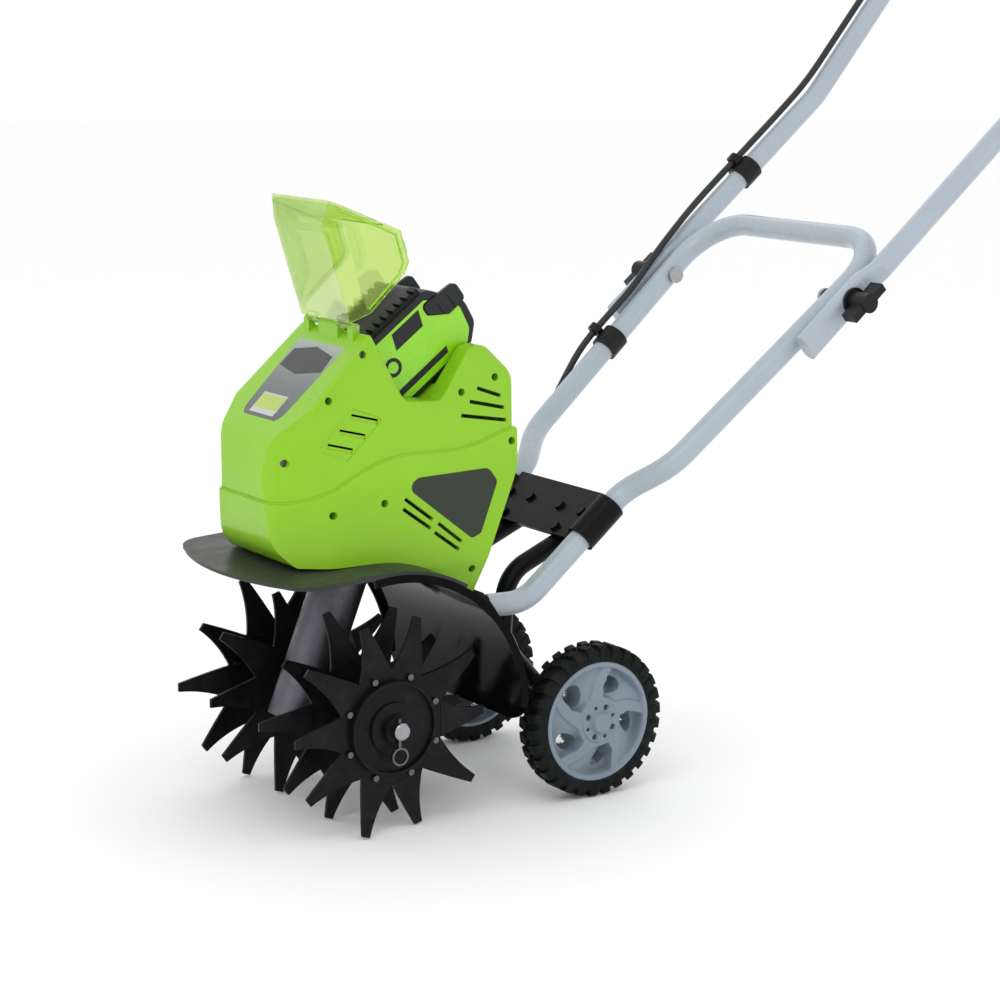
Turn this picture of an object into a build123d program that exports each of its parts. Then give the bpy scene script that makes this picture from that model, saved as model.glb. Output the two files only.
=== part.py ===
from build123d import *
import math
import os

os.makedirs("parts", exist_ok=True)

# Battery mini cultivator. Millimetres, x forward, y to the left, z up.
# The machine is drawn with x = 0 at the tine shaft; save() moves every piece so that the
# origin of the finished frame is on the ground, under the middle of the whole machine.

# ------------------------------------------------------------------ driving dimensions
FRONT_X = 118.0            # front edge of the guard
REAR_X = -962.0            # back of the grip
SHIFT_X = -(FRONT_X + REAR_X) / 2

TIP_R = 102.0              # finger tips: an 8 inch tine
FINGERS = 10
STAR_Y = (55.0, 110.0)     # planes of the inner and outer stars
STAR_T = 3.0
BEND_R = 54.0              # fingers are bent about this chord
BEND_DEG = 8.0

FENDER_Z = 101.6           # centre of the fender's curve
FENDER_R = 136.0
SHEET_HALF_W = 125.0       # half width of guard and fender
SHEET_T = 2.5

TYRE_R = 73.0
WHEEL_X = -218.0
WHEEL_Y = (95.0, 125.0)
RIM_R = 57.5

WALL = 3.0                 # housing wall

LID_HINGE = (-5.0, 452.0)  # x, z
LID_OPEN = 107.0

BATTERY_TILT = 37.0
BATTERY_N = (263.0, 335.0)     # lower and upper face, measured square to the slide
BATTERY_HALF_W = 39.5
BATTERY_LENGTH = 146.0
BATTERY_FRONT_S = 235.0        # front end along the slide, with the battery raised
BATTERY_TRAVEL = 70.0          # from raised to home

TUBE_R = 11.1
SLOPE = 39.8
PLATE_X, PLATE_Z = -246.0, 260.0

WORM_CENTRES = 33.0
WORM_TILT = 21.8

FOLD_U = 309.0             # fold pivot along the handle from the cross plate
FLARE_Y = (84.0, 118.0, 141.0)  # lower handle at the clamps, past the flare, at the top
UPPER_Y = 161.5            # upper handle legs
RUN = 0.05                 # radial running clearance of a shaft in its hole
CABLE_R = 3.5
CABLE_ENTRY = [(-109.0, -52.0, 266.0), (-146.0, -56.0, 232.0)]   # through the casing's rear wall


# ------------------------------------------------------------------ small helpers
def sin(deg):
    return math.sin(math.radians(deg))


def cos(deg):
    return math.cos(math.radians(deg))


def side(line, y0, y1):
    """Solid with a side-view outline (x, z), reaching from y0 to y1."""
    return extrude(Plane.XZ.offset(-y0) * make_face(line), amount=-(y1 - y0))


def rounded(corners):
    """Face of a polygon given as (a, b, radius) corners."""
    face = make_face(Polyline(*[(a, b) for a, b, r in corners], close=True))
    for a, b, r in corners:
        if r > 0:
            near = [v for v in face.vertices() if abs(v.X - a) < 1e-3 and abs(v.Y - b) < 1e-3]
            face = fillet(near, r)
    return face


def side_face(face, y0, y1):
    return extrude(Plane.XZ.offset(-y0) * face, amount=-(y1 - y0))


def disc(x, z, y0, y1, r, bore=0.0):
    """Round part whose axis runs along y."""
    at = Pos(x, (y0 + y1) / 2, z) * Rot(90, 0, 0)
    body = at * Cylinder(r, abs(y1 - y0))
    if bore > 0:
        body = body - at * Cylinder(bore, abs(y1 - y0) + 1)
    return body


def rod(start, end, r, bore=0.0):
    """Round part between two points."""
    a = Vector(*start)
    b = Vector(*end)
    at = Plane(origin=(a + b) / 2, z_dir=b - a)
    length = (b - a).length
    body = at * Cylinder(r, length)
    if bore > 0:
        body = body - at * Cylinder(bore, length + 1)
    return body


def sweep_tube(points, radii, r, bore=0.0):
    """Tube along straight runs joined by tangent arcs."""
    path = FilletPolyline(*points, radius=radii)
    start = Plane(origin=path @ 0, z_dir=path % 0)
    body = sweep(start * Circle(r), path=path)
    if bore > 0:
        body = body - sweep(start * Circle(bore), path=path)
    return body


def left_right(solid):
    return [solid, mirror(solid, Plane.XZ)]


def save(name, *solids):
    """Write one sub-part, moved into the finished frame."""
    flat = []
    for item in solids:
        flat += item if isinstance(item, list) else [item]
    pieces = []
    for item in flat:
        pieces += list((Pos(SHIFT_X, 0, 0) * item).solids())
    shape = pieces[0] if len(pieces) == 1 else Compound(pieces)
    export_step(shape, f"parts/{name}.step")


# ------------------------------------------------------------------ tines
def finger():
    """One finger pointing along +x from the star's centre, in the x-y plane."""
    flank_a = ThreePointArc((BEND_R - 3, -16.4), (76, -7.4), (TIP_R, -4))
    flank_b = ThreePointArc((TIP_R, 4), (80, 9.8), (BEND_R - 3, 16.4))
    tip = Line((TIP_R, -4), (TIP_R, 4))
    root = Line((BEND_R - 3, 16.4), (BEND_R - 3, -16.4))
    return extrude(make_face([flank_a, tip, flank_b, root]), amount=STAR_T)


def star(hand):
    """Tine star about the z axis, its fingers bent in turn to either side."""
    body = Cylinder(BEND_R, STAR_T, align=(Align.CENTER, Align.CENTER, Align.MIN))
    for i in range(FINGERS):
        bend = BEND_DEG * (1 if i % 2 else -1) * hand
        piece = Pos(BEND_R, 0, STAR_T / 2) * Rot(0, bend, 0) * Pos(-BEND_R, 0, -STAR_T / 2) * finger()
        body = body + Rot(0, 0, (i + 0.5) * 360 / FINGERS) * piece
    return body - Cylinder(14, 3 * STAR_T)


def place_star(y, hand):
    # local x points down, so that two fingers straddle the ground contact
    return Pos(0, y, 0) * Rot(90, 0, 0) * Rot(0, 0, -90) * Pos(0, 0, -STAR_T / 2) * star(hand)


inner_star = place_star(STAR_Y[0], 1)
outer_star = place_star(STAR_Y[1], -1)
AXLE_Z = -inner_star.bounding_box().min.Z      # the finger tips stand on the ground
AXLE = (0.0, AXLE_Z)


def on_axle(solid):
    return Pos(0, 0, AXLE_Z) * solid


SHAFT_R = 8.0
SHAFT_HALF = 132.0
save("tine_inner", left_right(on_axle(inner_star)))
save("tine_outer", left_right(on_axle(outer_star)))

shaft = disc(*AXLE, -SHAFT_HALF, SHAFT_HALF, SHAFT_R)
shaft = chamfer(shaft.edges(), 1.2)
pin_hole = rod((0, 125.5, AXLE_Z - 12), (0, 125.5, AXLE_Z + 12), 1.6)
for hole in left_right(pin_hole):
    shaft = shaft - hole
save("tine_shaft", shaft)

HUB_R = 14.0
hub = disc(*AXLE, 31.4, 119, HUB_R, SHAFT_R) + disc(*AXLE, 119, 122.5, 12.5, SHAFT_R)
save("tine_hubs", left_right(hub))

DISH_R = 43.5
dish = disc(*AXLE, 112, 114.5, DISH_R) + disc(*AXLE, 112, 118.5, DISH_R) - disc(*AXLE, 114.5, 120, DISH_R - 3)
dish = dish + disc(*AXLE, 114.5, 117.5, 24) - disc(*AXLE, 100, 130, HUB_R)
save("hub_plates", left_right(dish))

BOLT_CIRCLE = 48.0
tine_bolts = []
for i in range(8):
    turn = i * 45 + 22.5
    bx = BOLT_CIRCLE * cos(turn)
    bz = AXLE_Z + BOLT_CIRCLE * sin(turn)
    head = disc(bx, bz, 111.5, 115.0, 2.9)
    nut = disc(bx, bz, 105.0, 108.5, 2.9)
    tine_bolts += left_right(head) + left_right(nut)
save("tine_bolts", tine_bolts)

hitch_pin = rod((0, 125.5, AXLE_Z - 16), (0, 125.5, AXLE_Z + 11), 1.55)
hitch_ring = disc(0, AXLE_Z - 24, 124.3, 126.7, 8.5, 6.5)
save("hitch_pins", left_right(hitch_pin + hitch_ring))

# ------------------------------------------------------------------ gearcase, worm drive and motor
WORM_DIR = (-sin(WORM_TILT), cos(WORM_TILT))
WORM_FOOT = (WORM_CENTRES * cos(WORM_TILT), AXLE_Z + WORM_CENTRES * sin(WORM_TILT))


def on_worm(t):
    """Point on the motor axis, t above the worm's middle."""
    return (WORM_FOOT[0] + t * WORM_DIR[0], 0.0, WORM_FOOT[1] + t * WORM_DIR[1])


def worm_rod(t0, t1, r, bore=0.0):
    return rod(on_worm(t0), on_worm(t1), r, bore)


NECK_R = 25.0
CASE_HALF = 28.0
NECK_TOP = 152.0
case = disc(*AXLE, -CASE_HALF, CASE_HALF, 37) + worm_rod(-27, NECK_TOP, NECK_R)
case = case + worm_rod(NECK_TOP - 6, NECK_TOP, 30)
case = case + disc(*AXLE, -31, 31, 20)
rib_top = on_worm(92)
rib = side(Polyline((-35, AXLE_Z + 8), (20, AXLE_Z), (rib_top[0], rib_top[2]), close=True), -12, 12)
case = case + rib
hollow = disc(*AXLE, -12, 12, 30) + worm_rod(-20, 34, 14.2) + worm_rod(34, NECK_TOP + 1, 9)
case = case - hollow - disc(*AXLE, -40, 40, 14.0)
left_block = Pos(0, 100, 300) * Box(800, 200, 800)
right_block = mirror(left_block, Plane.XZ)
save("gearcase_left", case & left_block)
save("gearcase_right", case & right_block)

bearing = disc(*AXLE, 13, 23, 14.0, SHAFT_R + RUN)
save("shaft_bearings", left_right(bearing))
seal = disc(*AXLE, 23.4, 31, 14.0, SHAFT_R + RUN)
save("shaft_seals", left_right(seal))
worm_wheel = disc(*AXLE, -7, 7, 25.6, SHAFT_R)
for i in range(33):
    turn = i * 360 / 33
    gx = 26.2 * cos(turn)
    gz = AXLE_Z + 26.2 * sin(turn)
    worm_wheel = worm_wheel - disc(gx, gz, -8, 8, 1.15)
save("worm_wheel", worm_wheel)

MOTOR_T = (158.0, 226.0)
MOTOR_R = 30.0
can = worm_rod(*MOTOR_T, MOTOR_R) - worm_rod(MOTOR_T[0] + 3, MOTOR_T[1] - 3, MOTOR_R - 2.5)
can = can - worm_rod(MOTOR_T[0] - 1, MOTOR_T[0] + 4, 4 + RUN)
can = can - worm_rod(MOTOR_T[1] - 4, MOTOR_T[1] - 1, 4 + RUN)
adapter = worm_rod(NECK_TOP, MOTOR_T[0], 26, 9)
save("motor_can", can + adapter)
save("motor_shaft", worm_rod(-18, MOTOR_T[1] - 1.2, 4) + worm_rod(-17, 17, 6.8))
save("worm_bearing", worm_rod(22, 32, 14.2, 4 + RUN))
save("armature", worm_rod(MOTOR_T[0] + 8, MOTOR_T[0] + 46, 21, 4))
fan_plane = Plane(origin=on_worm(MOTOR_T[0] + 50), z_dir=(WORM_DIR[0], 0, WORM_DIR[1]))
fan_profile = Polyline((4, 0), (24, 0), (24, 2), (8, 2), (8, 8), (4, 8), close=True)
fan = revolve(Plane.XZ * make_face(fan_profile), axis=Axis.Z)
for i in range(9):
    fan = fan + Rot(0, 0, i * 40) * Pos(14.5, 0, 4) * Box(15, 1.6, 5)
fan = fan_plane * fan
save("cooling_fan", fan)

# ------------------------------------------------------------------ guard and fender
neck_hole = worm_rod(60, 200, NECK_R + 2)


def around(deg, r):
    return (r * cos(deg), FENDER_Z + r * sin(deg))


def arc_sheet(r_in, r_out, deg0, deg1, half_w):
    """Curved sheet about the fender's centre between two angles."""
    mid = (deg0 + deg1) / 2
    outline = [
        ThreePointArc(around(deg0, r_out), around(mid, r_out), around(deg1, r_out)),
        Line(around(deg1, r_out), around(deg1, r_in)),
        ThreePointArc(around(deg1, r_in), around(mid, r_in), around(deg0, r_in)),
        Line(around(deg0, r_in), around(deg0, r_out)),
    ]
    return side(outline, -half_w, half_w)


FENDER_DEG = (80.0, 188.0)
fender = arc_sheet(FENDER_R, FENDER_R + SHEET_T, *FENDER_DEG, SHEET_HALF_W)
lip = arc_sheet(FENDER_R - 5, FENDER_R + SHEET_T, *FENDER_DEG, SHEET_HALF_W)
lip = lip - arc_sheet(FENDER_R - 6, FENDER_R + SHEET_T, 70, 200, SHEET_HALF_W - SHEET_T)
fender = fender + lip
fender_low = around(FENDER_DEG[1], FENDER_R)[1]
fender_outline = rounded([
    (-SHEET_HALF_W - 1, fender_low + 0.5, 30), (SHEET_HALF_W + 1, fender_low + 0.5, 30),
    (SHEET_HALF_W + 1, 300, 0), (-SHEET_HALF_W - 1, 300, 0),
])
fender = fender & extrude(Plane.YZ.offset(-200) * fender_outline, amount=400)
fender = fender - neck_hole
save("rear_fender", fender)

GUARD_R = FENDER_R + SHEET_T
GUARD_T = 3.0
GUARD_FRONT_Z = 237.0
GUARD_REAR_DEG = 121.0


def guard_outline():
    return [
        Line((FRONT_X, GUARD_FRONT_Z), (30, FENDER_Z + GUARD_R + GUARD_T - 0.6)),
        ThreePointArc(
            (30, FENDER_Z + GUARD_R + GUARD_T - 0.6),
            (15, FENDER_Z + GUARD_R + GUARD_T - 0.4),
            around(90, GUARD_R + GUARD_T),
        ),
        ThreePointArc(
            around(90, GUARD_R + GUARD_T),
            around(105, GUARD_R + GUARD_T),
            around(GUARD_REAR_DEG, GUARD_R + GUARD_T),
        ),
        Line(around(GUARD_REAR_DEG, GUARD_R + GUARD_T), around(GUARD_REAR_DEG, GUARD_R)),
        ThreePointArc(
            around(GUARD_REAR_DEG, GUARD_R), around(100, GUARD_R), around(80, GUARD_R)
        ),
        Line(around(80, GUARD_R), (FRONT_X, GUARD_FRONT_Z - GUARD_T)),
        Line((FRONT_X, GUARD_FRONT_Z - GUARD_T), (FRONT_X, GUARD_FRONT_Z)),
    ]


guard = side(guard_outline(), -SHEET_HALF_W, SHEET_HALF_W)
bow = [
    Line((-200, -126), (72, -126)),
    ThreePointArc((72, -126), (90, -118), (100, -100)),
    ThreePointArc((100, -100), (FRONT_X, 0), (100, 100)),
    ThreePointArc((100, 100), (90, 118), (72, 126)),
    Line((72, 126), (-200, 126)),
    Line((-200, 126), (-200, -126)),
]
guard = guard & extrude(Plane.XY.offset(100) * make_face(bow), amount=300)
guard = guard - neck_hole
save("front_guard", guard)

# ------------------------------------------------------------------ housing
HOUSING_SIDE = [
    (-104, 200, 0), (-151, 318, 60), (-157, 402, 22), (-128, 431, 14), (-112, 428, 6),
    (-79, 383, 10), (-41, 385, 14), (-10, 448.2, 3),
    (86, 357.3, 26), (90, 322, 60), (84, 262, 30), (66, 243.1, 18), (0, 243.1, 0), (0, 200, 0),
]
HOUSING_PLAN = [(-158, -81, 14), (42, -81, 28), (91, -44, 28), (91, 44, 28), (42, 81, 28), (-158, 81, 14)]
HOUSING_FRONT = [
    (-72, 190, 0), (-81, 235, 40), (-81, 310, 160), (-59, 480, 0),
    (59, 480, 0), (81, 310, 160), (81, 235, 40), (72, 190, 0),
]
SEAT_R = GUARD_R + GUARD_T
seat = disc(0, FENDER_Z, -200, 200, SEAT_R)


def housing_form(inset):
    """Outer form of the casing, the hollow inside it (inset above 0) or a fuller form (inset below 0)."""
    faces = []
    for corners in (HOUSING_SIDE, HOUSING_FRONT, HOUSING_PLAN):
        face = rounded(corners)
        if inset != 0:
            face = offset(face, amount=-inset)
        faces.append(face)
    body = extrude(Plane.XZ.offset(-90) * faces[0], amount=180)
    body = body & extrude(Plane.YZ.offset(-200) * faces[1], amount=400)
    if inset == 0:
        sharp = [e for e in body.edges() if abs(e.center().Y) > 30 and e.center().Z > 215]
        body = fillet(sharp, 4)
    body = body & extrude(Plane.XY.offset(150) * faces[2], amount=350)
    return body - disc(0, FENDER_Z, -200, 200, SEAT_R + max(inset, 0))


def below_crease(drop):
    """Everything under the crease that sweeps along the casing's side, lowered by drop."""
    crease = [(x, z - drop) for x, z in CREASE]
    return side([
        Spline(*crease), Line(crease[-1], (125, BOTTOM_Z)), Line((125, BOTTOM_Z), (0, BOTTOM_Z)),
        Line((0, BOTTOM_Z), (0, 200)), Line((0, 200), (-170, 200)), Line((-170, 200), crease[0]),
    ], -100, 100)


BAND = 2.4                 # the casing's lower band stands this much proud
BOTTOM_Z = 243.1
CREASE = [
    (-170, 352), (-156, 354), (-117, 344), (-74, 339), (-32, 339), (0, 332), (32, 318), (58, 307),
    (73, 303), (90, 303), (125, 303),
]
outer_form = housing_form(0)
inner_form = housing_form(WALL)
half_step = housing_form(-0.6 * BAND) & below_crease(0.4)
full_step = housing_form(-BAND) & below_crease(1.9)
full_form = outer_form + half_step + full_step

S_DIR = (-cos(BATTERY_TILT), sin(BATTERY_TILT))
N_DIR = (sin(BATTERY_TILT), cos(BATTERY_TILT))


def sn(s, n):
    """Side-view point from its place along (s) and square to (n) the battery's slide."""
    return (s * S_DIR[0] + n * N_DIR[0], s * S_DIR[1] + n * N_DIR[1])


def slab(s0, s1, n0, n1, half_w):
    corners = [sn(s0, n0), sn(s1, n0), sn(s1, n1), sn(s0, n1)]
    return side(Polyline(*corners, close=True), -half_w, half_w)


HOME_FRONT_S = BATTERY_FRONT_S - BATTERY_TRAVEL
LINER_HALF_W = BATTERY_HALF_W + 2.9
LINER_T = 2.0
RAIL_H = 6.0
FLOOR_N = BATTERY_N[0] - 0.7
ROOF_N = BATTERY_N[1] + RAIL_H + 2
OPENING_S = 225.0          # the casing is cut open for the battery from here on
pocket = slab(OPENING_S, 430, FLOOR_N - LINER_T - 0.4, ROOF_N, LINER_HALF_W + LINER_T + 0.4)
SCREWS = [                 # x, z and how far out the head is seated
    (0, 430, 58), (38, 392, 58), (75, 337.5, 50), (41, 291, 58), (-11, 297, 58),
    (-100, 389, 58), (-137, 400, 58), (-149, 341, 58), (-104, 226, 58),
]
BOSS_DEPTH = 8.0
HEAD_R = 3.6
cavity = inner_form
for sx, sz, seat_y in SCREWS:
    for boss in left_right(disc(sx, sz, seat_y - BOSS_DEPTH, 95, 6.5)):
        cavity = cavity - boss
shell = full_form - cavity
housing_screws = []
for sx, sz, seat_y in SCREWS:
    foot_y = seat_y - BOSS_DEPTH
    for hole in left_right(disc(sx, sz, seat_y, 95, HEAD_R) + disc(sx, sz, foot_y - 1, seat_y, 1.8)):
        shell = shell - hole
    screw = disc(sx, sz, seat_y, seat_y + 2.6, 3.4) + disc(sx, sz, foot_y, seat_y, 1.8)
    housing_screws += left_right(screw)
shell = shell - pocket - worm_rod(100, 165, 31.5)
save("housing_screws", housing_screws)


def slot(p0, p1, height):
    """Through slot in a side wall, from p0 to p1 in the side view."""
    dx = p1[0] - p0[0]
    dz = p1[1] - p0[1]
    length = math.hypot(dx, dz)
    nx = -dz / length * height / 2
    nz = dx / length * height / 2
    upper = [(p0[0] + nx, p0[1] + nz), (p1[0] + nx, p1[1] + nz)]
    quad = upper + [(p1[0] - nx, p1[1] - nz), (p0[0] - nx, p0[1] - nz)]
    return side(Polyline(*quad, close=True), 40, 100)


PANEL = [(15, 384, 3), (-17, 372, 3), (24, 337, 3), (53, 350, 3)]     # shallow recess round three slots
PANEL_DEPTH = 0.8
PANEL_SLOTS = [((16, 376.5), (-11, 369.5)), ((29, 364), (3, 357.5)), ((42, 352.5), (17, 346))]
REAR_SLOTS = [((-117, 391.5), (-142, 382.5)), ((-108, 380), (-145, 371.5)), ((-98, 368), (-146, 360))]
LOW_SLOTS = [
    ((-32, 299), (-61, 277)), ((-30, 290), (-59, 269)), ((-67, 273), (-92, 253)), ((-63, 265), (-89, 246)),
]
vents = [slot(a, b, 5.0) for a, b in PANEL_SLOTS]
vents += [slot(a, b, 3.4) for a, b in REAR_SLOTS + LOW_SLOTS]
panel_skin = outer_form - housing_form(PANEL_DEPTH)
vents.append(panel_skin & side_face(rounded(PANEL), 40, 100))
for vent in vents:
    shell = shell - vent - mirror(vent, Plane.XZ)

# recesses that the trim panels sit in
BADGE_T = 1.2
SIDE_BADGE = [(-34, 309, 7), (-47, 317, 5), (-122, 319, 9), (-131, 306, 6), (-113, 259, 5), (-103, 255, 5)]


band_skin = full_form - housing_form(BADGE_T - BAND)
badge_left = band_skin & side_face(rounded(SIDE_BADGE), 60, 100)
front_badge_face = rounded([(-36, 371.5, 10), (-43, 434, 2), (43, 434, 2), (36, 371.5, 10)])
front_window = extrude(Plane.YZ.offset(-3) * front_badge_face, amount=120)
front_badge = (outer_form - housing_form(BADGE_T)) & front_window
shell = shell - badge_left - mirror(badge_left, Plane.XZ) - front_badge

KNUCKLE_R = 3.4
for y0, y1 in ((-18, 18), (36, 46), (-46, -36)):
    post = disc(*LID_HINGE, y0, y1, KNUCKLE_R)
    post = post + Pos(LID_HINGE[0] + 0.6, (y0 + y1) / 2, LID_HINGE[1] - 7) * Box(2 * KNUCKLE_R, y1 - y0, 14)
    shell = shell + post
shell = shell - disc(*LID_HINGE, -60, 60, 1.6)

right_shell = shell & right_block
save("housing_left", mirror(right_shell, Plane.XZ))
save("housing_right", right_shell - rod(*CABLE_ENTRY, CABLE_R + 0.4))
save("front_badge", front_badge)
save("side_badges", left_right(badge_left))

# ------------------------------------------------------------------ battery bay
LINER_END_S = 290.0
BAY_FRONT_S = HOME_FRONT_S - 4.5
liner = slab(BAY_FRONT_S - LINER_T, LINER_END_S, FLOOR_N - LINER_T, ROOF_N - 0.4, LINER_HALF_W + LINER_T)
liner = liner - slab(BAY_FRONT_S, 440, FLOOR_N, ROOF_N + 20, LINER_HALF_W)
save("battery_bay", liner & inner_form)
TERMINAL_N = (275.0, 297.0)
terminals = slab(BAY_FRONT_S, HOME_FRONT_S + 12, *TERMINAL_N, 21)
for y in (-14, -7, 0, 7, 14):
    terminals = terminals - Pos(0, y, 0) * slab(HOME_FRONT_S + 2, HOME_FRONT_S + 13, 280, 292, 1.2)
save("terminal_block", terminals)

EJECTOR_S = (BATTERY_FRONT_S - 3.9, BATTERY_FRONT_S)
ejector = slab(*EJECTOR_S, BATTERY_N[0] + 1, BATTERY_N[1] - 3, 36)
ejector = ejector - slab(EJECTOR_S[0] - 1, EJECTOR_S[1] + 1, TERMINAL_N[0] - 4, TERMINAL_N[1] + 4, 25)
save("battery_ejector", ejector)

# ------------------------------------------------------------------ battery
BATTERY_END_S = BATTERY_FRONT_S + BATTERY_LENGTH


def sn_outline(corners):
    """Rounded side-view face whose corners are given as (s, n, radius)."""
    return rounded([(*sn(s, n), r) for s, n, r in corners])


n_low, n_top = BATTERY_N
case_face = sn_outline([
    (BATTERY_FRONT_S, n_low, 5), (BATTERY_FRONT_S, n_top, 5), (BATTERY_END_S - 26, n_top, 12),
    (BATTERY_END_S, n_top - 34, 16), (BATTERY_END_S - 3, n_low + 14, 12), (BATTERY_END_S - 18, n_low, 10),
])
battery = side_face(case_face, -BATTERY_HALF_W, BATTERY_HALF_W)
rims = [e for e in battery.edges() if abs(abs(e.center().Y) - BATTERY_HALF_W) < 0.01]
battery = fillet(rims, 3)
battery = battery - slab(BATTERY_FRONT_S - 1, BATTERY_FRONT_S + 16, TERMINAL_N[0] - 3, TERMINAL_N[1] + 3, 24)

PANEL_IN = BATTERY_HALF_W - 1.6
panel_face = sn_outline([
    (BATTERY_FRONT_S + 24, n_low + 4, 6), (BATTERY_FRONT_S + 24, n_top - 6, 6),
    (BATTERY_END_S - 34, n_top - 6, 4),
    (BATTERY_END_S - 8, n_top - 34, 8), (BATTERY_END_S - 12, n_low + 14, 8),
    (BATTERY_END_S - 22, n_low + 4, 6),
])
LATCH = (BATTERY_END_S - 39, BATTERY_END_S + 1, n_top - 33, n_top - 9)
LATCH_TRAVEL = 2.0


def latch_face(gap):
    s0, s1, n0, n1 = LATCH
    return sn_outline([
        (s0 - gap, n0 + 14 - gap, 4), (s0 - gap, n1 + gap, 5), (s1 + gap, n1 - 4 + gap, 6),
        (s1 + gap, n0 - gap, 5), (s0 + 18, n0 - gap, 5),
    ])


LATCH_Y = (BATTERY_HALF_W - 2.6, BATTERY_HALF_W + 1.4)
latch_room = side_face(latch_face(0.9), LATCH_Y[0] - LATCH_TRAVEL - 0.4, 60)
ring_x, ring_z = sn(BATTERY_FRONT_S + 50, n_low + 38)
ring = disc(ring_x, ring_z, PANEL_IN, BATTERY_HALF_W + 0.2, 9, 5.5)
panel = side_face(panel_face, PANEL_IN, BATTERY_HALF_W + 0.1)
for room in left_right(side_face(panel_face, PANEL_IN, 60)) + left_right(latch_room):
    battery = battery - room
panel = panel - latch_room - disc(ring_x, ring_z, 0, 60, 9)
panel = panel + disc(ring_x, ring_z, PANEL_IN, BATTERY_HALF_W + 0.1, 5.5)
for piece in left_right(ring):
    battery = battery + piece
save("battery_case", battery)
save("battery_panels", left_right(panel))
latch = side_face(latch_face(0), *LATCH_Y)
for s0 in (12, 25):
    groove = slab(LATCH[0] + s0, LATCH[0] + s0 + 2, LATCH[2] - 4, LATCH[3] - 8, 60)
    latch = latch - Pos(0, 60 + LATCH_Y[1] - 0.8, 0) * groove
save("battery_latch_left", latch)
save("battery_latch_right", mirror(latch, Plane.XZ))

RAIL_MID = 29.5
RAIL_HALF_W = 6.5
RAIL_S = (BATTERY_FRONT_S + 27, BATTERY_FRONT_S + 114)
RIB_PITCH = 9.0
rail = slab(*RAIL_S, n_top, n_top + RAIL_H / 2, RAIL_HALF_W)
for k in range(7):
    s0 = RAIL_S[1] - 5 - k * RIB_PITCH
    rail = rail + slab(s0, s0 + 5, n_top, n_top + RAIL_H, RAIL_HALF_W)
save("battery_rails", left_right(Pos(0, RAIL_MID, 0) * rail))

# ------------------------------------------------------------------ battery lid, drawn closed
LID_HALF_W = 58.0
LID_T = 2.0
LID_TOP_Z = 457.0
LID_SHOULDER_Z = 443.0
LID_RIM = [(-16.5, 440), (-37, 398), (-46, 390), (-76, 390), (-88, 404)]
LID_TOP = [(-124, 448), (-104, LID_TOP_Z), (-10.5, LID_TOP_Z)]


def lid_section(half_w, top):
    """Front view of the lid: upright sides and a chamfer band up to the top panel."""
    flat = half_w - 13
    right = [(half_w, 380), (half_w, LID_SHOULDER_Z), (flat, top)]
    left = [(-y, z) for y, z in reversed(right)]
    return make_face(Polyline(*right, *left, close=True))


def opened(solid):
    at = Pos(LID_HINGE[0], 0, LID_HINGE[1])
    return at * Rot(0, LID_OPEN, 0) * Pos(-LID_HINGE[0], 0, -LID_HINGE[1]) * solid


lid = side(Polyline(*LID_RIM, *LID_TOP, close=True), -LID_HALF_W, LID_HALF_W)
lid = lid & extrude(Plane.YZ.offset(-150) * lid_section(LID_HALF_W, LID_TOP_Z), amount=300)
lid_cavity = [(-8, 455), (-103.6, 455), (-120.8, 447.3), (-86.4, 405.3), (-80, 380), (-8, 380)]
inside = side(Polyline(*lid_cavity, close=True), -LID_HALF_W + LID_T, LID_HALF_W - LID_T)
cavity_section = lid_section(LID_HALF_W - LID_T, LID_TOP_Z - LID_T)
inside = inside & extrude(Plane.YZ.offset(-150) * cavity_section, amount=300)
lid = lid - inside
rim_band = Polyline(*LID_RIM, *[(x + 0.5, z + 4) for x, z in reversed(LID_RIM)], close=True)
for band in left_right(side(rim_band, LID_HALF_W - LID_T, LID_HALF_W + 1.5)):
    lid = lid + band
for tab in left_right(Pos(-61, LID_HALF_W + 2, 393) * Box(12, 5, 4)):
    lid = lid + tab
for hinge_y in left_right(Pos(0, 27, 0) * disc(*LID_HINGE, -8.6, 8.6, KNUCKLE_R)):
    lid = lid + hinge_y
for web in left_right(Pos(-9.5, 27, LID_TOP_Z - 2.4) * Box(9, 17.2, 4.8)):
    lid = lid + web
lid = lid - disc(*LID_HINGE, -60, 60, 1.6 + RUN)
save("battery_lid", opened(lid))
save("lid_hinge_pin", disc(*LID_HINGE, -46.5, 46.5, 1.6))

# ------------------------------------------------------------------ lower handle and cross plate
def uvw(u, y, w):
    """Point u up the handle from the cross plate, w square to it, upward."""
    return (PLATE_X - cos(SLOPE) * u + sin(SLOPE) * w, y, PLATE_Z + sin(SLOPE) * u + cos(SLOPE) * w)


TUBE_WALL = 1.6
FLARE_U = (34.0, 76.0)
TOP_U = 390.0
half_path = [
    (-125, FLARE_Y[0] - 9, 187), uvw(-112, FLARE_Y[0], 0),
    uvw(FLARE_U[0], FLARE_Y[0], 0), uvw(FLARE_U[1], FLARE_Y[1], 0), uvw(TOP_U, FLARE_Y[2], 0),
]
other_half = [(x, -y, z) for x, y, z in reversed(half_path)]
HANDLE_BENDS = [45, 45, 60, 55, 55, 60, 45, 45]
lower_handle = sweep_tube(half_path + other_half, HANDLE_BENDS, TUBE_R, TUBE_R - TUBE_WALL)


def leg_y(u):
    """Lower handle's centre line between the flare and the top bend."""
    return FLARE_Y[1] + (FLARE_Y[2] - FLARE_Y[1]) * (u - FLARE_U[1]) / (TOP_U - FLARE_U[1])


FOLD = uvw(FOLD_U, 0, 0)
PIVOT_R = 4.0
pivot_line = disc(FOLD[0], FOLD[2], 90, 200, PIVOT_R)
for hole in left_right(pivot_line):
    lower_handle = lower_handle - hole
save("lower_handle", lower_handle)

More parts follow.
